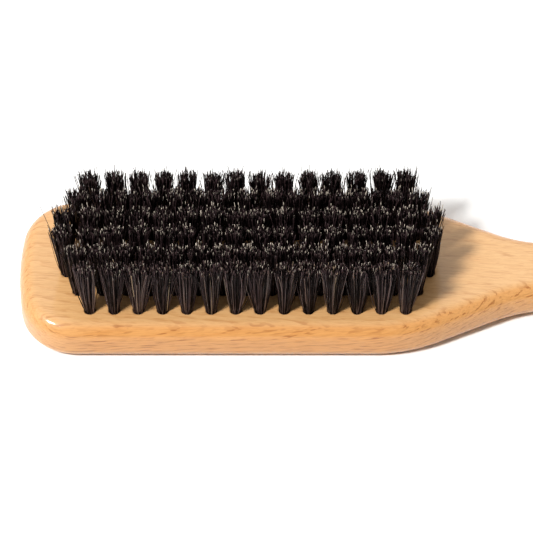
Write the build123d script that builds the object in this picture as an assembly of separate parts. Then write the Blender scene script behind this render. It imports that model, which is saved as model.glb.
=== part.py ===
from build123d import *
import math
import os

# Fade brush: a one-piece beech paddle with six staggered rows of bristle tufts.
# A tuft is a bundle of bristles folded in half, held in a blind hole by a piece of flat wire.
# Millimetres. The brush lies on its flat back with its bristles up (+Z) and its handle
# towards +X. The origin is the centre of the footprint, on the back face.

# Paddle, seen from above
LENGTH = 225.0
THICKNESS = 12.6
HEAD_WIDTH = 51.5
HEAD_CORNER_RADIUS = 16.0
HEAD_END_ANGLE = 7.8  # half the angle of the shallow arc across the head's end, degrees
SHOULDER_START = 102.7  # where the head begins to narrow, from the head's end
SHOULDER_RADIUS = 47.0
NECK_ANGLE = 24.5  # slope of the side between shoulder and neck, degrees
NECK_RADIUS = 42.0
WAIST_WIDTH = 20.4
GRIP_WIDTH = 25.0
GRIP_START = 198.0  # where the grip reaches its full width, from the head's end
GRIP_CORNER_RADIUS = 9.5
GRIP_END_ANGLE = 25.0

# Paddle's rounded edges
FRONT_EDGE_RADIUS = 4.6  # round the bristle side
BACK_EDGE_RADIUS = 4.2  # round the back

# Tuft field, with rows across the head and the same pitch both ways
TUFTS_PER_ROW = [14, 15, 16, 16, 15, 14]
PITCH = 7.0
FIELD_CENTRE = 66.4  # from the head's end

# Drilled holes
HOLE_DIAMETER = 3.4
HOLE_DEPTH = 8.0
DRILL_POINT_ANGLE = 118.0

# Tufts
ROOT_CLEARANCE = 0.02  # between the bundle and the hole's wall
BRISTLE_HEIGHT = 18.9  # above the wood
TIP_DIAMETER = 6.4
FOLD_RADIUS = 1.0
END_LEAN = 0.5  # how far the outermost tuft of a row leans out at its tip
LEANING_TUFTS = 2  # how many tufts at each end of a row lean

# Anchors, with their length across the grain
ANCHOR_LENGTH = 3.9
ANCHOR_THICKNESS = 0.4
ANCHOR_HEIGHT = 1.8
ANCHOR_CHAMFER = 0.3
FOLD_THICKNESS = 1.1  # bristles under the anchor

# Each row is made in three stretches, counted from the head's end
STRETCHES = ["toe", "middle", "heel"]

HEAD_END_X = -LENGTH / 2
GRIP_END_X = LENGTH / 2
HOLE_FLOOR_Z = THICKNESS - HOLE_DEPTH
ROW_COUNT = len(TUFTS_PER_ROW)


def rounded_end(end_x, inward, half_width, corner_radius, end_angle):
    """The +Y half of a rounded end: a shallow end arc and the corner arc that it runs into.

    inward is +1 where the wood lies towards +X, and -1 where it lies towards -X.
    Gives the two arcs and the X where the corner meets the straight side."""
    angle = math.radians(end_angle)
    end_radius = (half_width - corner_radius) / math.sin(angle) + corner_radius
    end_centre = end_x + inward * end_radius
    corner_x = end_centre - inward * (end_radius - corner_radius) * math.cos(angle)
    tip_angle = 180 if inward > 0 else 0
    end_arc = CenterArc((end_centre, 0), end_radius, tip_angle, -inward * end_angle)
    corner_arc = CenterArc(
        (corner_x, half_width - corner_radius),
        corner_radius,
        tip_angle - inward * end_angle,
        -inward * (90 - end_angle),
    )
    return [end_arc, corner_arc], corner_x


def narrowing_side():
    """The +Y side from the head's full width to the waist: shoulder arc, slope, neck arc."""
    angle = math.radians(NECK_ANGLE)
    head_y = HEAD_WIDTH / 2
    waist_y = WAIST_WIDTH / 2
    shoulder_x = HEAD_END_X + SHOULDER_START
    slope_start_x = shoulder_x + SHOULDER_RADIUS * math.sin(angle)
    slope_start_y = head_y - SHOULDER_RADIUS * (1 - math.cos(angle))
    slope_end_y = waist_y + NECK_RADIUS * (1 - math.cos(angle))
    slope_end_x = slope_start_x + (slope_start_y - slope_end_y) / math.tan(angle)
    waist_x = slope_end_x + NECK_RADIUS * math.sin(angle)
    edges = [
        CenterArc((shoulder_x, head_y - SHOULDER_RADIUS), SHOULDER_RADIUS, 90, -NECK_ANGLE),
        Line((slope_start_x, slope_start_y), (slope_end_x, slope_end_y)),
        CenterArc((waist_x, waist_y + NECK_RADIUS), NECK_RADIUS, 270 - NECK_ANGLE, NECK_ANGLE),
    ]
    return edges, shoulder_x, waist_x


def swelling_side(waist_x):
    """The +Y side from the waist to the grip's full width: two equal arcs in an S."""
    waist_y = WAIST_WIDTH / 2
    grip_y = GRIP_WIDTH / 2
    grip_x = HEAD_END_X + GRIP_START
    run = grip_x - waist_x
    rise = grip_y - waist_y
    radius = (run**2 + rise**2) / (4 * rise)
    turn = math.degrees(math.asin(run / 2 / radius))
    edges = [
        CenterArc((waist_x, waist_y + radius), radius, 270, turn),
        CenterArc((grip_x, grip_y - radius), radius, 90 + turn, -turn),
    ]
    return edges, grip_x


def paddle_outline():
    """The closed outline of the paddle as a face in the XY plane."""
    head_y = HEAD_WIDTH / 2
    grip_y = GRIP_WIDTH / 2
    head_end, head_x = rounded_end(HEAD_END_X, 1, head_y, HEAD_CORNER_RADIUS, HEAD_END_ANGLE)
    narrowing, shoulder_x, waist_x = narrowing_side()
    swelling, grip_x = swelling_side(waist_x)
    grip_end, grip_corner_x = rounded_end(GRIP_END_X, -1, grip_y, GRIP_CORNER_RADIUS, GRIP_END_ANGLE)
    half = Curve() + [
        *head_end,
        Line((head_x, head_y), (shoulder_x, head_y)),
        *narrowing,
        *swelling,
        Line((grip_x, grip_y), (grip_corner_x, grip_y)),
        *grip_end,
    ]
    return make_face(half + mirror(half, about=Plane.XZ))


def tuft_places(row):
    """The (x, y, lean) of each tuft in a row, from the head's end to the neck."""
    count = TUFTS_PER_ROW[row]
    y = (row - (ROW_COUNT - 1) / 2) * PITCH
    places = []
    for index in range(count):
        from_centre = index - (count - 1) / 2
        from_end = min(index, count - 1 - index)
        lean = END_LEAN * max(0, 1 - from_end / LEANING_TUFTS)
        x = HEAD_END_X + FIELD_CENTRE + from_centre * PITCH
        places.append((x, y, math.copysign(lean, from_centre)))
    return places


def drilled_hole():
    """The space of one blind hole, mouth at the bristle side, on the Z axis."""
    radius = HOLE_DIAMETER / 2
    point = radius / math.tan(math.radians(DRILL_POINT_ANGLE / 2))
    profile = Polyline(
        (0, HOLE_FLOOR_Z - point),
        (radius, HOLE_FLOOR_Z),
        (radius, THICKNESS + 1),
        (0, THICKNESS + 1),
        close=True,
    )
    return revolve(make_face(Plane.XZ * profile), Axis.Z)


def anchor():
    """One flat-wire anchor on the Z axis, with its leading corners cut off."""
    wire = Box(ANCHOR_THICKNESS, ANCHOR_LENGTH, ANCHOR_HEIGHT)
    wire = Pos(0, 0, HOLE_FLOOR_Z + FOLD_THICKNESS + ANCHOR_HEIGHT / 2) * wire
    leading = wire.edges().filter_by(Axis.X).group_by(Axis.Z)[0]
    return chamfer(leading, ANCHOR_CHAMFER)


def tuft(lean):
    """One tuft on the Z axis: the folded root in its hole and the flared bristles above."""
    root_radius = HOLE_DIAMETER / 2 - ROOT_CLEARANCE
    root = Pos(0, 0, HOLE_FLOOR_Z + HOLE_DEPTH / 2) * Cylinder(root_radius, HOLE_DEPTH)
    root = fillet(root.edges().group_by(Axis.Z)[0], FOLD_RADIUS)
    mouth = Pos(0, 0, THICKNESS) * Circle(root_radius)
    tips = Pos(lean, 0, THICKNESS + BRISTLE_HEIGHT) * Circle(TIP_DIAMETER / 2)
    return root + loft([mouth, tips]) - anchor()


def paddle():
    """The wooden body with its rounded edges, its holes and the anchors' seats in their walls."""
    body = extrude(paddle_outline(), THICKNESS)
    body = fillet(body.edges().group_by(Axis.Z)[-1], FRONT_EDGE_RADIUS)
    body = fillet(body.edges().group_by(Axis.Z)[0], BACK_EDGE_RADIUS)
    hole = drilled_hole() + anchor()
    cuts = [Pos(x, y, 0) * hole for row in range(ROW_COUNT) for x, y, _ in tuft_places(row)]
    return body - cuts


def split(items, stretch):
    """The share of a row's items that lies in one stretch."""
    first = round(len(items) * stretch / len(STRETCHES))
    last = round(len(items) * (stretch + 1) / len(STRETCHES))
    return items[first:last]


def save(node, shape):
    """Write one sub-part as parts/NODE.step."""
    shape.label = node
    export_step(shape, f"parts/{node}.step")


os.makedirs("parts", exist_ok=True)
save("beech_paddle", paddle())
for row in range(ROW_COUNT):
    places = tuft_places(row)
    for stretch, name in enumerate(STRETCHES):
        tufts = [Pos(x, y, 0) * tuft(lean) for x, y, lean in split(places, stretch)]
        save(f"tufts_row_{row + 1}_{name}", Compound(children=tufts))
    anchors = [Pos(x, y, 0) * anchor() for x, y, _ in places]
    save(f"anchors_row_{row + 1}", Compound(children=anchors))
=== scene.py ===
import math

import bpy
import numpy as np
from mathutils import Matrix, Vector
from mathutils.geometry import delaunay_2d_cdt


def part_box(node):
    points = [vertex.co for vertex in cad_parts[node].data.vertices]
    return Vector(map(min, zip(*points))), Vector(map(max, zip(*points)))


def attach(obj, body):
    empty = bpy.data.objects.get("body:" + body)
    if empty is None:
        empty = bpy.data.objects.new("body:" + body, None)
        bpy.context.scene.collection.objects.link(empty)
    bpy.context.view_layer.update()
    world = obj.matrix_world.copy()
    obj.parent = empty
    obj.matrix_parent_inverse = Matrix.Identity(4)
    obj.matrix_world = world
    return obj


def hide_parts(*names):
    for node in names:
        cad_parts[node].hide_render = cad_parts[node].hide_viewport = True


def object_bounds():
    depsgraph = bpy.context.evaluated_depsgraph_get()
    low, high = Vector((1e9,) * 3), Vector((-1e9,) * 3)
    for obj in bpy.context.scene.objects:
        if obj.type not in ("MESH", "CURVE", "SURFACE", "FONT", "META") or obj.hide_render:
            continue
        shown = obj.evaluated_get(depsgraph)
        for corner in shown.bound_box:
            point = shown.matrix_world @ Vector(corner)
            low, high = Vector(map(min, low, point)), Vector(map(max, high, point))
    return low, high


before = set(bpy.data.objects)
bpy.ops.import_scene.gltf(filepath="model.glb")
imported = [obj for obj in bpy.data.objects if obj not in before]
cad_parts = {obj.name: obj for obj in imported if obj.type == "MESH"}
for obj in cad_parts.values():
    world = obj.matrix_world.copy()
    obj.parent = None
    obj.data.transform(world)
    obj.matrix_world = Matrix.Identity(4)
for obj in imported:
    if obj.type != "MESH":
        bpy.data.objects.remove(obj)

# A fade brush lying on its back. The paddle gets a finer mesh with softer edges along the neck,
# and every tuft is made of single bristles. Metres.
MM = 0.001
ROWS = 6
STRETCHES = ["toe", "middle", "heel"]
CAD_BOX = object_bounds()
WOOD_LOW, WOOD_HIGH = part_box("beech_paddle")

# The paddle's outline, as in the CAD model
HEAD_CORNER_RADIUS = 16.0 * MM
HEAD_END_ANGLE = math.radians(7.8)
SHOULDER_START = 102.7 * MM
SHOULDER_RADIUS = 47 * MM
NECK_ANGLE = math.radians(24.5)
NECK_RADIUS = 42 * MM
WAIST_WIDTH = 20.4 * MM
GRIP_WIDTH = 25 * MM
GRIP_START = 198 * MM
GRIP_CORNER_RADIUS = 9.5 * MM
GRIP_END_ANGLE = math.radians(25)
OUTLINE_STEP = 0.7 * MM

# Its rounded edges: as in the CAD model round the head, and rounder from the neck on
FRONT_EDGE = (4.6 * MM, 5.1 * MM)
BACK_EDGE = (4.2 * MM, 5.4 * MM)
EDGE_CHANGE = (104 * MM, 145 * MM)  # from the head's end
EDGE_RINGS = 10
FLAT_MARGIN = 0.2 * MM

# Drilled holes
HOLE_RADIUS = 1.7 * MM
HOLE_DEPTH = 8 * MM
HOLE_SIDES = 24
RIM_ROUNDING = 0.12 * MM

# Grain of the wood. The growth rings dip towards the near side, and the fibres run out of the
# front face a little.
RING_NORMAL = Vector((-0.07, -0.45, 0.89)).normalized()
FIBRE = Vector((0.0, 0.89, 0.45)).cross(RING_NORMAL).normalized()
GRAIN_AXES = (FIBRE, RING_NORMAL.cross(FIBRE).normalized(), RING_NORMAL)
RING_WIDTH = 1.5 * MM
RING_WAVER = 3.2  # in rings
WAVER_SIZE = (26 * MM, 8 * MM, 5 * MM)
FIBRE_SIZE = (11 * MM, 0.4 * MM, 0.4 * MM)
FLAKE_SIZE = (5.2 * MM, 1.3 * MM, 0.3 * MM)
RAY_SIZE = (2.6 * MM, 0.26 * MM, 1.2 * MM)
EDGE_FADE = 0.7 * MM  # how far below the front face the edges' painted shade and clearer dashes are reached
TOE_FADE = (4 * MM, 24 * MM)  # where that look grows to its full strength, from the head's end

# Colours of the wood
EARLYWOOD = (0.655, 0.375, 0.16)
MIDWOOD = (0.645, 0.365, 0.152)
LATEWOOD = (0.61, 0.33, 0.13)
PALE_WOOD = (0.69, 0.43, 0.21)
# painted shade: a darker, more orange colour for the rounded edges and sides, which get less light than the
# front face
EDGE_PAINTED_SHADE = (0.98, 0.82, 0.61)
DASH_COLOUR = (0.33, 0.115, 0.026)
RAY_COLOUR = (0.39, 0.15, 0.04)

# Bristles
HAIRS_PER_TUFT = 205
HAIR_DIAMETER = 0.25 * MM
HAIR_THICKNESS = (0.75, 1.2)  # of that diameter
HAIR_TAPER = 0.2
HAIR_SIDES = 3
HAIR_STEPS = np.array([-1, 0, 0.1, 0.22, 0.35, 0.48, 0.6, 0.72, 0.84, 0.93, 1.0])  # -1 is in the hole
RISING = np.clip(HAIR_STEPS, 0, 1)
ROOT_DEPTH = 3 * MM  # how far the bristles are followed into their hole

# Tips of the bristles: most stay in a column, in small clumps, and the others fan out of it
CORE_TIP_RADIUS = (2.8 * MM, 3.2 * MM)
ROW_FLARE = (1.12, 1.04, 1.0, 1.0, 0.97, 0.87)  # from the near row to the far one
TUFT_DEPTH = 0.74  # of its width: the wire in the fold spreads a tuft along its row
TUFT_SCATTER = 0.2 * MM
LEANING_TUFTS = 2
TIP_SCATTER = 0.22 * MM
CLUMPS_PER_TUFT = 36
CLUMP_SCATTER = 0.25 * MM
CLUMPING = 0.45
WISP_SHARE = 0.35
WISP_REACH = 0.8 * MM
WISP_LIMIT = 1.9 * MM
STRAY_SHARE = 0.015
STRAY_REACH = (1.2 * MM, 2.6 * MM)

# Heights and bends of the bristles
TUFT_HEIGHT = (-0.12 * MM, 0.12 * MM)  # mean and spread, over the CAD tuft's
HEIGHT_SCATTER = 0.25 * MM
SHORT_SHARE = 0.08
SHORT_BY = (0.8 * MM, 5 * MM)
LONG_SHARE = 0.03
LONG_BY = (0.4 * MM, 1.5 * MM)
FLARING = (0.72, 1.1)  # below 1 a bristle leans out near the wood, and above 1 near its tip
BOW = 0.2 * MM
CURL = 0.3 * MM
CURL_START = 0.55  # of the height

# Looks of the bristles, from the near row to the far one
# painted shade: the far rows have fewer light, shiny bristles, as their sides lie in the tufts' shade
ROW_PAINTED_SHADE = (1.0, 0.86, 0.8, 0.8, 0.8, 0.8)
# painted highlight: how many cut tips get a painted glint, row by row, with more of them on a tuft's far
# side
ROW_GLINT = (0.91, 0.97, 0.96, 0.96, 0.94, 0.86)
TUFT_GLINT = 0.95
FAR_SIDE_GLINT = (0.07, 0.13, 0.13, 0.13, 0.13, 0.0)

# Camera: looks straight across the brush from the front, 50 degrees above the horizon
CAMERA_ELEVATION = math.radians(50)
CAMERA_DISTANCE = 1.288
CAMERA_AIM = Vector((71.76 * MM, 9.39 * MM, 0))  # from the head's end, on the centre line, at the back
LENS = 295.781  # millimetres, like the sensor
SENSOR_WIDTH = 36

# Light
LIGHT_DISTANCE = 2.0
SKY_DARK = 0.04
SKY_BRIGHT = 1.08
FLOOR_SIZE = 6

rng = np.random.default_rng(20)


# ---------------------------------------------------------------- places, read from the frame

def node_points(node):
    """A CAD node's vertices as an array."""
    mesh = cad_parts[node].data
    flat = np.empty(3 * len(mesh.vertices))
    mesh.vertices.foreach_get("co", flat)
    return flat.reshape(-1, 3)


def hole_centres(row):
    """The X and Y of each hole in a row: its anchor's middle."""
    points = node_points(f"anchors_row_{row}")
    along = np.sort(points[:, 0])
    anchors = np.split(along, np.flatnonzero(np.diff(along) > HOLE_RADIUS) + 1)
    y = (points[:, 1].min() + points[:, 1].max()) / 2
    return [((anchor[0] + anchor[-1]) / 2, y) for anchor in anchors]


HOLES = {row: hole_centres(row) for row in range(1, ROWS + 1)}


# ---------------------------------------------------------------- mesh helpers

def new_object(name, vertices, faces, material, smooth=True):
    """A mesh object at the origin."""
    mesh = bpy.data.meshes.new(name)
    mesh.from_pydata([tuple(v) for v in vertices], [], faces)
    mesh.validate()
    mesh.polygons.foreach_set("use_smooth", [smooth] * len(mesh.polygons))
    mesh.materials.append(material)
    piece = bpy.data.objects.new(name, mesh)
    bpy.context.scene.collection.objects.link(piece)
    return piece


def smoothstep(x, low, high):
    """0 up to low, 1 from high on, and a smooth rise between them."""
    t = np.clip((x - low) / (high - low), 0, 1)
    return t * t * (3 - 2 * t)


# ---------------------------------------------------------------- paddle

def arc_points(centre, radius, start, end):
    """Points along an arc, without its last one."""
    count = max(2, math.ceil(abs(end - start) * radius / OUTLINE_STEP))
    angles = start + (end - start) * np.arange(count) / count
    return [(centre[0] + radius * math.cos(a), centre[1] + radius * math.sin(a)) for a in angles]


def line_points(start, end):
    """Points along a straight side, without its last one."""
    count = max(1, math.ceil(math.dist(start, end) / OUTLINE_STEP))
    steps = np.arange(count) / count
    return [(start[0] + (end[0] - start[0]) * t, start[1] + (end[1] - start[1]) * t) for t in steps]


def rounded_end(end_x, inward, half_width, corner_radius, angle):
    """An end's two arcs as (centre, radius, start, end), and the X where its side begins."""
    end_radius = (half_width - corner_radius) / math.sin(angle) + corner_radius
    end_centre = end_x + inward * end_radius
    corner_x = end_centre - inward * (end_radius - corner_radius) * math.cos(angle)
    tip = math.pi if inward > 0 else 0
    turned = tip - inward * angle
    arcs = [
        ((end_centre, 0), end_radius, tip, turned),
        ((corner_x, half_width - corner_radius), corner_radius, turned, math.pi / 2),
    ]
    return arcs, corner_x


def narrowing_side(head_y, waist_y):
    """The side from the head to the waist (shoulder arc, slope, neck arc), and the waist's X."""
    shoulder_x = WOOD_LOW.x + SHOULDER_START
    slope_start_x = shoulder_x + SHOULDER_RADIUS * math.sin(NECK_ANGLE)
    slope_start_y = head_y - SHOULDER_RADIUS * (1 - math.cos(NECK_ANGLE))
    slope_end_y = waist_y + NECK_RADIUS * (1 - math.cos(NECK_ANGLE))
    slope_end_x = slope_start_x + (slope_start_y - slope_end_y) / math.tan(NECK_ANGLE)
    waist_x = slope_end_x + NECK_RADIUS * math.sin(NECK_ANGLE)
    up = math.pi / 2
    down = 3 * math.pi / 2
    points = arc_points((shoulder_x, head_y - SHOULDER_RADIUS), SHOULDER_RADIUS, up, up - NECK_ANGLE)
    points += line_points((slope_start_x, slope_start_y), (slope_end_x, slope_end_y))
    points += arc_points((waist_x, waist_y + NECK_RADIUS), NECK_RADIUS, down - NECK_ANGLE, down)
    return points, waist_x


def swelling_side(waist_x, waist_y, grip_x, grip_y):
    """The side from the waist to the grip's full width: two equal arcs in an S."""
    run = grip_x - waist_x
    rise = grip_y - waist_y
    radius = (run**2 + rise**2) / (4 * rise)
    turn = math.asin(run / 2 / radius)
    up = math.pi / 2
    down = 3 * math.pi / 2
    points = arc_points((waist_x, waist_y + radius), radius, down, down + turn)
    points += arc_points((grip_x, grip_y - radius), radius, up + turn, up)
    return points


def half_outline():
    """The +Y half of the paddle's outline, from the head's end to the handle's end."""
    head_y = (WOOD_HIGH.y - WOOD_LOW.y) / 2
    waist_y = WAIST_WIDTH / 2
    grip_y = GRIP_WIDTH / 2
    grip_x = WOOD_LOW.x + GRIP_START
    head_end, head_x = rounded_end(WOOD_LOW.x, 1, head_y, HEAD_CORNER_RADIUS, HEAD_END_ANGLE)
    grip_end, grip_corner_x = rounded_end(WOOD_HIGH.x, -1, grip_y, GRIP_CORNER_RADIUS, GRIP_END_ANGLE)
    narrowing, waist_x = narrowing_side(head_y, waist_y)
    points = []
    for arc in head_end:
        points += arc_points(*arc)
    points += line_points((head_x, head_y), (WOOD_LOW.x + SHOULDER_START, head_y))
    points += narrowing
    points += swelling_side(waist_x, waist_y, grip_x, grip_y)
    points += line_points((grip_x, grip_y), (grip_corner_x, grip_y))
    for centre, radius, start, end in reversed(grip_end):
        points += arc_points(centre, radius, end, start)
    points.append((WOOD_HIGH.x, 0))
    return np.array(points)


def full_outline():
    """The closed outline, clockwise seen from above, with outward normals."""
    half = half_outline()
    mirrored = half[-2:0:-1] * (1, -1)
    loop = np.vstack([half, mirrored])
    along = np.roll(loop, -1, axis=0) - np.roll(loop, 1, axis=0)
    normals = np.column_stack([-along[:, 1], along[:, 0]])
    return loop, normals / np.linalg.norm(normals, axis=1)[:, None]


def add_quads(faces, first, second, count):
    """Joins two closed rings of count vertices, given by their first vertex."""
    for i in range(count):
        j = (i + 1) % count
        faces.append((first + i, first + j, second + j, second + i))


def circle(centre, radius, z):
    """A level ring of a hole's vertices."""
    angles = 2 * math.pi * np.arange(HOLE_SIDES) / HOLE_SIDES
    x = centre[0] + radius * np.cos(angles)
    y = centre[1] + radius * np.sin(angles)
    return np.column_stack([x, y, np.full(HOLE_SIDES, z)])


def flat_fill(vertices, faces, rings, holes):
    """Fills the flat inside the first ring of vertex numbers and outside the other rings."""
    used = [number for ring in rings for number in ring]
    points = [Vector(vertices[number][:2]) for number in used]
    edges = []
    start = 0
    for ring in rings:
        edges += [(start + i, start + (i + 1) % len(ring)) for i in range(len(ring))]
        start += len(ring)
    _, _, triangles, origins, _, _ = delaunay_2d_cdt(points, edges, [], 1, 1e-9)
    centres = np.array(holes).reshape(-1, 2)
    for triangle in triangles:
        corners = [used[origins[v][0]] for v in triangle]
        middle = np.mean([vertices[c][:2] for c in corners], axis=0)
        if len(centres) and np.hypot(*(centres - middle).T).min() < HOLE_RADIUS:
            continue
        faces.append(tuple(corners))


def edge_levels(loop):
    """Inset and height of each ring of vertices, from the flat back round both edges to the front."""
    change = smoothstep(loop[:, 0] - WOOD_LOW.x, *EDGE_CHANGE)
    front = FRONT_EDGE[0] + (FRONT_EDGE[1] - FRONT_EDGE[0]) * change
    back = BACK_EDGE[0] + (BACK_EDGE[1] - BACK_EDGE[0]) * change
    top = WOOD_HIGH.z
    angles = [math.pi / 2 * i / EDGE_RINGS for i in range(EDGE_RINGS + 1)]
    levels = [(back + FLAT_MARGIN, np.zeros_like(back))]
    levels += [(back * (1 - math.sin(a)), back * (1 - math.cos(a))) for a in angles]
    levels += [(front * (1 - math.cos(a)), top - front * (1 - math.sin(a))) for a in angles]
    levels.append((front + FLAT_MARGIN, np.full_like(front, top)))
    return levels


def hole_rings(centre):
    """The rings of vertices of one hole, from the flat round its softened rim to its floor."""
    top = WOOD_HIGH.z
    profile = [
        (HOLE_RADIUS + RIM_ROUNDING + FLAT_MARGIN / 2, top),
        (HOLE_RADIUS + RIM_ROUNDING, top),
        (HOLE_RADIUS + 0.3 * RIM_ROUNDING, top - 0.3 * RIM_ROUNDING),
        (HOLE_RADIUS, top - RIM_ROUNDING),
        (HOLE_RADIUS, top - HOLE_DEPTH),
    ]
    return [circle(centre, radius, z) for radius, z in profile]


def paddle(material):
    """The wooden body: rounded edges, flat back, and a front drilled for the tufts."""
    loop, normals = full_outline()
    count = len(loop)
    rings = []
    for inset, height in edge_levels(loop):
        rings.append(np.column_stack([loop - normals * inset[:, None], height]))
    faces = []
    for i in range(len(rings) - 1):
        add_quads(faces, (i + 1) * count, i * count, count)
    total = len(rings) * count
    back_ring = list(range(count))
    front_ring = list(range(total - count, total))

    holes = [centre for row in HOLES.values() for centre in row]
    rims = []
    for centre in holes:
        hole = hole_rings(centre)
        rings += hole
        rims.append(list(range(total, total + HOLE_SIDES)))
        for _ in hole[1:]:
            add_quads(faces, total, total + HOLE_SIDES, HOLE_SIDES)
            total += HOLE_SIDES
        faces.append(tuple(range(total, total + HOLE_SIDES)))
        total += HOLE_SIDES
    vertices = np.vstack(rings)
    flat_fill(vertices, faces, [front_ring] + rims, holes)
    flat_fill(vertices, faces, [back_ring], [])
    return new_object("beech_body", vertices, faces, material)


# ---------------------------------------------------------------- bristles

def tuft_disc():
    """A place on the unit disc for every bristle of a tuft, and its distance from the middle."""
    spread = np.sqrt(rng.uniform(0, 1, HAIRS_PER_TUFT))
    turn = rng.uniform(0, 2 * math.pi, HAIRS_PER_TUFT)
    return np.column_stack([spread * np.cos(turn), spread * np.sin(turn)]), spread


def tip_places(row, lean, disc, spread):
    """The X and Y of every tip in a tuft, from the middle of its hole."""
    count = HAIRS_PER_TUFT
    core = rng.uniform(*CORE_TIP_RADIUS) * ROW_FLARE[row - 1] * np.array([1, TUFT_DEPTH])
    clumps = disc[:CLUMPS_PER_TUFT] * core + rng.normal(0, CLUMP_SCATTER, (CLUMPS_PER_TUFT, 2))
    target = disc * core + rng.normal(0, TIP_SCATTER, (count, 2))
    nearest = np.linalg.norm(target[:, None] - clumps[None], axis=2).argmin(axis=1)
    tip = target + (clumps[nearest] - target) * CLUMPING

    outward = disc / np.maximum(spread, 0.2)[:, None]
    wisps = rng.uniform(0, 1, count) < WISP_SHARE
    reach = np.minimum(rng.exponential(WISP_REACH, (wisps.sum(), 1)), WISP_LIMIT)
    tip[wisps] += outward[wisps] * reach
    strays = rng.uniform(0, 1, count) < STRAY_SHARE
    tip[strays] += outward[strays] * rng.uniform(*STRAY_REACH, (strays.sum(), 1))
    tip += rng.normal(0, TUFT_SCATTER, 2) + (lean, 0)
    return tip


def hair_heights(tip_z):
    """How far every bristle of a tuft stands above the wood, a few of them short or long."""
    count = HAIRS_PER_TUFT
    height = tip_z - WOOD_HIGH.z + rng.normal(*TUFT_HEIGHT) + rng.normal(0, HEIGHT_SCATTER, count)
    height -= (rng.uniform(0, 1, count) < SHORT_SHARE) * rng.uniform(*SHORT_BY, count)
    height += (rng.uniform(0, 1, count) < LONG_SHARE) * rng.uniform(*LONG_BY, count)
    return height


def tuft_hairs(row, centre, lean, tip_z):
    """The centre line, radii, shade and glint of every bristle in one tuft."""
    count = HAIRS_PER_TUFT
    disc, spread = tuft_disc()
    root = disc * (HOLE_RADIUS - HAIR_DIAMETER / 2)
    tip = tip_places(row, lean, disc, spread)
    height = hair_heights(tip_z)

    above = RISING[None, :, None]
    power = rng.uniform(*FLARING, count)[:, None, None]
    bow = rng.normal(0, BOW, (count, 1, 2)) * np.sin(math.pi * above)
    curling = np.clip((above - CURL_START) / (1 - CURL_START), 0, 1) ** 2
    curl = rng.normal(0, CURL, (count, 1, 2)) * curling
    flat = root[:, None, :] + (tip - root)[:, None, :] * above**power + bow + curl
    z = WOOD_HIGH.z + np.where(HAIR_STEPS < 0, -ROOT_DEPTH, height[:, None] * RISING)
    paths = np.concatenate([flat + np.array(centre), z[:, :, None]], axis=2)

    thickness = HAIR_DIAMETER / 2 * rng.uniform(*HAIR_THICKNESS, count)
    radii = thickness[:, None] * (1 - HAIR_TAPER * RISING**1.5)
    # painted highlight: which bristles get a glinting tip, more of them on the tuft's far side
    towards_back = TUFT_GLINT + FAR_SIDE_GLINT[row - 1] * disc[:, 1]
    glint = rng.uniform(0, 1, count) * towards_back * ROW_GLINT[row - 1]
    # painted shade: the far rows' bristles are made darker and less shiny
    shade = rng.uniform(0, 1, count) * ROW_PAINTED_SHADE[row - 1]
    return paths, radii, shade, glint


def hair_tubes(paths, radii):
    """Vertices of a thin tube round every path: hair by hair, ring by ring."""
    along = np.gradient(paths, axis=1)
    along /= np.linalg.norm(along, axis=2, keepdims=True)
    side = np.array([1.0, 0, 0]) - along * along[:, :, :1]
    side /= np.linalg.norm(side, axis=2, keepdims=True)
    across = np.cross(along, side)
    twist = rng.uniform(0, 2 * math.pi, len(paths))
    angles = twist[:, None] + 2 * math.pi * np.arange(HAIR_SIDES) / HAIR_SIDES
    cos = np.cos(angles)[:, None, :, None]
    sin = np.sin(angles)[:, None, :, None]
    ring = cos * side[:, :, None, :] + sin * across[:, :, None, :]
    return paths[:, :, None, :] + ring * radii[:, :, None, None]


def hair_faces(hairs, rings):
    """Vertex numbers of the tubes' quads, and of the cap on each tip."""
    ring = np.arange(HAIR_SIDES)
    following = (ring + 1) % HAIR_SIDES
    strip = np.column_stack([ring, following, following + HAIR_SIDES, ring + HAIR_SIDES])
    tube = (strip[None] + HAIR_SIDES * np.arange(rings - 1)[:, None, None]).reshape(-1, 4)
    first = HAIR_SIDES * rings * np.arange(hairs)
    quads = (tube[None] + first[:, None, None]).reshape(-1, 4)
    caps = HAIR_SIDES * (rings - 1) + ring + first[:, None]
    return quads, caps


def hair_mesh(name, paths, radii, looks):
    """One mesh of all the tubes, with each look as a value on its vertices."""
    tubes = hair_tubes(paths, radii)
    quads, caps = hair_faces(len(paths), len(HAIR_STEPS))
    corners = np.concatenate([quads.ravel(), caps.ravel()])
    sizes = np.repeat([4, HAIR_SIDES], [len(quads), len(caps)])
    mesh = bpy.data.meshes.new(name)
    mesh.vertices.add(tubes.size // 3)
    mesh.vertices.foreach_set("co", tubes.ravel())
    mesh.loops.add(len(corners))
    mesh.loops.foreach_set("vertex_index", corners)
    mesh.polygons.add(len(sizes))
    mesh.polygons.foreach_set("loop_start", np.cumsum(sizes) - sizes)
    mesh.update(calc_edges=True)
    mesh.polygons.foreach_set("use_smooth", np.ones(len(sizes), dtype=bool))
    for look, values in looks.items():
        attribute = mesh.attributes.new(look, "FLOAT", "POINT")
        attribute.data.foreach_set("value", np.broadcast_to(values, tubes.shape[:3]).ravel())
    return mesh


def tuft_piece(row, stretch, centres, leans, material):
    """All the bristles of one CAD node as one piece."""
    node = f"tufts_row_{row}_{stretch}"
    tip_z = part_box(node)[1].z
    tufts = [tuft_hairs(row, centre, lean, tip_z) for centre, lean in zip(centres, leans)]
    paths, radii, shade, glint = (np.concatenate(values) for values in zip(*tufts))
    looks = {"shade": shade[:, None, None], "glint": glint[:, None, None], "along": RISING[None, :, None]}
    mesh = hair_mesh(node, paths, radii, looks)
    mesh.materials.append(material)
    piece = bpy.data.objects.new("bristles" + node.removeprefix("tufts"), mesh)
    bpy.context.scene.collection.objects.link(piece)
    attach(piece, "root")
    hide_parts(node)
    return piece


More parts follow.
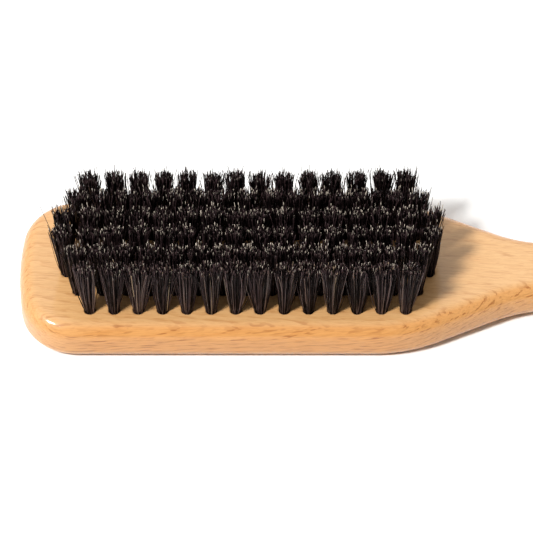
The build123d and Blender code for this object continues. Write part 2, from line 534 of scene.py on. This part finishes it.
def row_leans(row):
    """How far each tuft of a row leans along it. The outermost lean is read from its CAD box."""
    low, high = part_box(f"tufts_row_{row}_toe")
    outermost = HOLES[row][0][0] - (high.y - low.y) / 2 - low.x
    last = len(HOLES[row]) - 1
    leans = []
    for i in range(last + 1):
        share = max(0, 1 - min(i, last - i) / LEANING_TUFTS)
        leans.append(outermost * share * (-1 if i < last / 2 else 1))
    return leans


def bristles(material):
    """The bristles of every row, stretch by stretch."""
    for row, centres in HOLES.items():
        leans = row_leans(row)
        for stretch in STRETCHES:
            low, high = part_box(f"tufts_row_{row}_{stretch}")
            here = [i for i, centre in enumerate(centres) if low.x < centre[0] < high.x]
            tuft_piece(row, stretch, [centres[i] for i in here], [leans[i] for i in here], material)


# ---------------------------------------------------------------- material helpers

def new_material(name):
    """An empty material, its nodes and its links."""
    material = bpy.data.materials.new(name)
    material.use_nodes = True
    return material, material.node_tree.nodes, material.node_tree.links


def component(nodes, links, vector, name):
    """One of a vector's three components."""
    node = nodes.new("ShaderNodeSeparateXYZ")
    links.new(vector, node.inputs[0])
    return node.outputs[name]


def attribute(nodes, name):
    """A value stored on the mesh's vertices."""
    node = nodes.new("ShaderNodeAttribute")
    node.attribute_name = name
    return node.outputs["Fac"]


def stretched(nodes, links, place, axes, lengths):
    """The place measured along three directions, each in its own unit length."""
    combine = nodes.new("ShaderNodeCombineXYZ")
    for i, (axis, length) in enumerate(zip(axes, lengths)):
        dot = nodes.new("ShaderNodeVectorMath")
        dot.operation = "DOT_PRODUCT"
        dot.inputs[1].default_value = Vector(axis) / length
        links.new(place, dot.inputs[0])
        links.new(dot.outputs["Value"], combine.inputs[i])
    return combine.outputs[0]


def noise(nodes, links, place, axes, lengths, detail, roughness=0.5):
    """Noise drawn out to the given lengths along three directions."""
    node = nodes.new("ShaderNodeTexNoise")
    node.inputs["Scale"].default_value = 1
    node.inputs["Detail"].default_value = detail
    node.inputs["Roughness"].default_value = roughness
    links.new(stretched(nodes, links, place, axes, lengths), node.inputs["Vector"])
    return node.outputs["Fac"]


def map_range(nodes, links, value, low, high, first=0.0, last=1.0):
    """Runs evenly from first to last while the value runs from low to high."""
    node = nodes.new("ShaderNodeMapRange")
    for name, number in (("From Min", low), ("From Max", high), ("To Min", first), ("To Max", last)):
        node.inputs[name].default_value = number
    links.new(value, node.inputs["Value"])
    return node.outputs["Result"]


def ramp(nodes, links, value, stops):
    """A colour ramp from (position, (r, g, b)) or (position, grey) stops."""
    node = nodes.new("ShaderNodeValToRGB")
    elements = node.color_ramp.elements
    while len(elements) < len(stops):
        elements.new(0.5)
    for element, (position, colour) in zip(elements, stops):
        element.position = position
        rgb = colour if isinstance(colour, tuple) else (colour,) * 3
        element.color = (*rgb, 1)
    links.new(value, node.inputs["Fac"])
    return node.outputs["Color"]


def mix(nodes, links, factor, first, second, blend="MIX"):
    """Mixes two colours. factor is a socket or a number; so are the colours, or (r, g, b)."""
    node = nodes.new("ShaderNodeMix")
    node.data_type = "RGBA"
    node.blend_type = blend
    for socket, value in ((node.inputs[0], factor), (node.inputs[6], first), (node.inputs[7], second)):
        if isinstance(value, bpy.types.NodeSocket):
            links.new(value, socket)
        elif isinstance(value, tuple):
            socket.default_value = (*value, 1)
        else:
            socket.default_value = value
    return node.outputs[2]


def multiply(nodes, links, first, second):
    """The product of two colours."""
    return mix(nodes, links, 1.0, first, second, "MULTIPLY")


def calculate(nodes, links, operation, first, second=0.0):
    """A math node; its inputs are sockets or numbers."""
    node = nodes.new("ShaderNodeMath")
    node.operation = operation
    for socket, value in zip(node.inputs, (first, second)):
        if isinstance(value, bpy.types.NodeSocket):
            links.new(value, socket)
        else:
            socket.default_value = value
    return node.outputs[0]


# ---------------------------------------------------------------- materials

def ring_phase(nodes, links, place):
    """0 at the start of a year's ring and 1 at its end, with wavering rings."""
    depth = component(nodes, links, stretched(nodes, links, place, GRAIN_AXES, (1, 1, RING_WIDTH)), "Z")
    waver = noise(nodes, links, place, GRAIN_AXES, WAVER_SIZE, 3)
    shift = calculate(nodes, links, "MULTIPLY", waver, RING_WAVER)
    return calculate(nodes, links, "FRACT", calculate(nodes, links, "ADD", depth, shift))


def ring_colour(nodes, links, place, phase):
    """The ground colour: darker towards a ring's end, and paler towards the handle."""
    stops = [(0.0, EARLYWOOD), (0.55, MIDWOOD), (0.93, LATEWOOD), (1.0, EARLYWOOD)]
    colour = ramp(nodes, links, phase, stops)
    start, end = (WOOD_LOW.x + distance for distance in EDGE_CHANGE)
    paler = map_range(nodes, links, component(nodes, links, place, "X"), start, end, last=0.45)
    return mix(nodes, links, paler, colour, PALE_WOOD)


def edge_share(nodes, links, place):
    """0 on the front face and 1 on the board's edges, less strong near the head's end: the share of the
    edges' painted shade and of their clearer dashes.
    """
    height = component(nodes, links, place, "Z")
    edge = map_range(nodes, links, height, WOOD_HIGH.z, WOOD_HIGH.z - EDGE_FADE)
    start, end = (WOOD_LOW.x + distance for distance in TOE_FADE)
    toe = map_range(nodes, links, component(nodes, links, place, "X"), start, end, first=0.5)
    return calculate(nodes, links, "MULTIPLY", edge, toe)


def dash_strength(nodes, links, flakes, phase, edge):
    """The dark dashes: thin flakes, most of them near a ring's end and clearest on the edges."""
    dashes = ramp(nodes, links, flakes, [(0.54, 0.0), (0.62, 1.0)])
    late = ramp(nodes, links, phase, [(0.35, 0.25), (0.85, 1.0), (0.99, 0.6)])
    on_edge = map_range(nodes, links, edge, 0, 1, 0.25, 0.95)
    return multiply(nodes, links, multiply(nodes, links, dashes, late), on_edge)


def lacquer(nodes, links, shader, relief):
    """A clear coat over the wood, whose relief shows through it a little."""
    shader.inputs["Roughness"].default_value = 0.45
    shader.inputs["Specular IOR Level"].default_value = 0.3
    shader.inputs["Coat Weight"].default_value = 0.7
    shader.inputs["Coat Roughness"].default_value = 0.13
    shader.inputs["Coat IOR"].default_value = 1.5
    bump = nodes.new("ShaderNodeBump")
    bump.inputs["Strength"].default_value = 0.15
    bump.inputs["Distance"].default_value = 0.04 * MM
    links.new(relief, bump.inputs["Height"])
    links.new(bump.outputs["Normal"], shader.inputs["Normal"])


def beech():
    """Clear-lacquered beech: soft rings, fine fibre streaks, painted shade on the edges, dark dashes and ray
    flecks.
    """
    material, nodes, links = new_material("lacquered_beech")
    shader = nodes["Principled BSDF"]
    place = nodes.new("ShaderNodeTexCoord").outputs["Object"]
    phase = ring_phase(nodes, links, place)
    colour = ring_colour(nodes, links, place, phase)

    fibres = noise(nodes, links, place, GRAIN_AXES, FIBRE_SIZE, 3, 0.7)
    streaks = ramp(nodes, links, fibres, [(0.32, (0.88, 0.84, 0.78)), (0.58, (1.0, 1.0, 1.0))])
    colour = multiply(nodes, links, colour, streaks)

    edge = edge_share(nodes, links, place)
    # painted shade on the rounded edges and sides: darker and more orange there
    colour = mix(nodes, links, edge, colour, multiply(nodes, links, colour, EDGE_PAINTED_SHADE))

    flakes = noise(nodes, links, place, GRAIN_AXES, FLAKE_SIZE, 1)
    colour = mix(nodes, links, dash_strength(nodes, links, flakes, phase, edge), colour, DASH_COLOUR)

    rays = noise(nodes, links, place, GRAIN_AXES, RAY_SIZE, 1)
    flecks = ramp(nodes, links, rays, [(0.6, 0.0), (0.74, 0.28)])
    colour = mix(nodes, links, flecks, colour, RAY_COLOUR)

    links.new(colour, shader.inputs["Base Color"])
    lacquer(nodes, links, shader, flakes)
    return material


def bristle():
    """Dark natural bristle, a few hairs lighter, some with light cut tips that are partly a painted glint;
    the far rows are painted darker as shade.
    """
    material, nodes, links = new_material("bristle")
    shader = nodes["Principled BSDF"]
    colour = ramp(nodes, links, attribute(nodes, "shade"), [
        (0.0, (0.0025, 0.0015, 0.0015)),
        (0.45, (0.007, 0.0045, 0.0045)),
        (0.8, (0.07, 0.042, 0.044)),
        (0.985, (0.14, 0.087, 0.07)),
        (1.0, (0.38, 0.27, 0.16)),
    ])
    # painted highlight, partly real: the top of a bristle is lighter, as a cut end is, and as a painted
    # glint of the lamp; (0.68, 0.59, 0.48) is that light colour
    end = ramp(nodes, links, attribute(nodes, "along"), [(0.925, 0.0), (0.97, 1.0)])
    pale_and_glinting_tips = ramp(nodes, links, attribute(nodes, "glint"), [(0.77, 0.0), (0.86, 0.7), (1.0, 1.0)])
    strength = mix(nodes, links, 1.0, end, pale_and_glinting_tips, "MULTIPLY")
    colour = mix(nodes, links, strength, colour, (0.68, 0.59, 0.48))
    links.new(colour, shader.inputs["Base Color"])
    shine = ramp(nodes, links, attribute(nodes, "shade"), [(0.3, 0.04), (0.7, 0.15), (0.9, 0.8)])
    links.new(shine, shader.inputs["Specular IOR Level"])
    shader.inputs["Roughness"].default_value = 0.3
    return material


def wire():
    """Drawn flat steel wire for the anchors: fine draw lines along its length."""
    material, nodes, links = new_material("anchor_wire")
    shader = nodes["Principled BSDF"]
    place = nodes.new("ShaderNodeTexCoord").outputs["Object"]
    axes = ((1, 0, 0), (0, 1, 0), (0, 0, 1))
    lines = noise(nodes, links, place, axes, (0.05 * MM, 4 * MM, 0.05 * MM), 2)
    colour = ramp(nodes, links, lines, [(0.3, (0.45, 0.44, 0.42)), (0.7, (0.66, 0.65, 0.62))])
    links.new(colour, shader.inputs["Base Color"])
    links.new(ramp(nodes, links, lines, [(0.3, 0.28), (0.7, 0.45)]), shader.inputs["Roughness"])
    shader.inputs["Metallic"].default_value = 1
    return material


# ---------------------------------------------------------------- studio

def plain_material(name, colour, roughness):
    """One even colour."""
    material, nodes, _ = new_material(name)
    shader = nodes["Principled BSDF"]
    shader.inputs["Base Color"].default_value = (*colour, 1)
    shader.inputs["Roughness"].default_value = roughness
    shader.inputs["Specular IOR Level"].default_value = 0.2
    return material


def pale_floor():
    """A wide, plain floor under the brush."""
    size = FLOOR_SIZE
    corners = [(-size, -size, 0), (size, -size, 0), (size, size, 0), (-size, size, 0)]
    floor = new_object("floor", corners, [(0, 1, 2, 3)], plain_material("pale_floor", (0.9, 0.9, 0.89), 0.8))
    floor.location.z = WOOD_LOW.z


def sky():
    """A white sky, bright on the far side and dark on the near side."""
    world = bpy.data.worlds.new("sky")
    world.use_nodes = True
    nodes = world.node_tree.nodes
    links = world.node_tree.links
    background = nodes["Background"]
    background.inputs["Color"].default_value = (1, 0.99, 0.98, 1)
    direction = nodes.new("ShaderNodeTexCoord").outputs["Generated"]
    towards_far = component(nodes, links, direction, "Y")
    brightness = map_range(nodes, links, towards_far, -1, 1, SKY_DARK, SKY_BRIGHT)
    links.new(brightness, background.inputs["Strength"])
    bpy.context.scene.world = world


def lamps():
    """A key light from the near left, and a soft, weak one from the far side."""
    key = area_light("key", light_direction(42, 53), size=0.32, power=50)
    # the lacquer and the bristles mirror a lamp a little farther left than the key
    glint = area_light("glint", light_direction(20, 54), size=0.27, power=36)
    key.visible_glossy = False
    glint.visible_diffuse = False
    area_light("back", light_direction(-90, 50), size=1.2, power=2.2)


def light_direction(azimuth, elevation):
    """Towards a lamp. Azimuths turn from the toe's side (0) to the camera's side (90)."""
    turn = math.radians(azimuth)
    rise = math.radians(elevation)
    return Vector((-math.cos(turn) * math.cos(rise), -math.sin(turn) * math.cos(rise), math.sin(rise)))


def area_light(name, outward, size, power):
    """A square lamp that faces the middle of the bristles."""
    middle = (CAD_BOX[0] + CAD_BOX[1]) / 2
    middle.x = sum(centre[0] for centre in HOLES[3]) / len(HOLES[3])
    light = bpy.data.lights.new(name, "AREA")
    light.shape = "SQUARE"
    light.size = size
    light.energy = power
    lamp = bpy.data.objects.new(name, light)
    lamp.location = middle + outward * LIGHT_DISTANCE
    lamp.rotation_euler = outward.to_track_quat("Z", "Y").to_euler()
    bpy.context.scene.collection.objects.link(lamp)
    return lamp


def camera():
    """The camera, at the photo's viewing angle."""
    data = bpy.data.cameras.new("camera")
    data.sensor_width = SENSOR_WIDTH
    data.lens = LENS
    data.clip_end = 20
    eye = bpy.data.objects.new("camera", data)
    backward = Vector((0, -math.cos(CAMERA_ELEVATION), math.sin(CAMERA_ELEVATION)))
    start = Vector((WOOD_LOW.x, (WOOD_LOW.y + WOOD_HIGH.y) / 2, WOOD_LOW.z))
    eye.location = start + CAMERA_AIM + backward * CAMERA_DISTANCE
    eye.rotation_euler = (math.pi / 2 - CAMERA_ELEVATION, 0, 0)
    bpy.context.scene.collection.objects.link(eye)
    bpy.context.scene.camera = eye


# ---------------------------------------------------------------- build

camera()
body = paddle(beech())
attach(body, "root")
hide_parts("beech_paddle")
bristles(bristle())
steel = wire()
for row in range(1, ROWS + 1):
    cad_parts[f"anchors_row_{row}"].material_slots[0].material = steel
pale_floor()
sky()
lamps()
bpy.context.scene.view_settings.view_transform = "Standard"
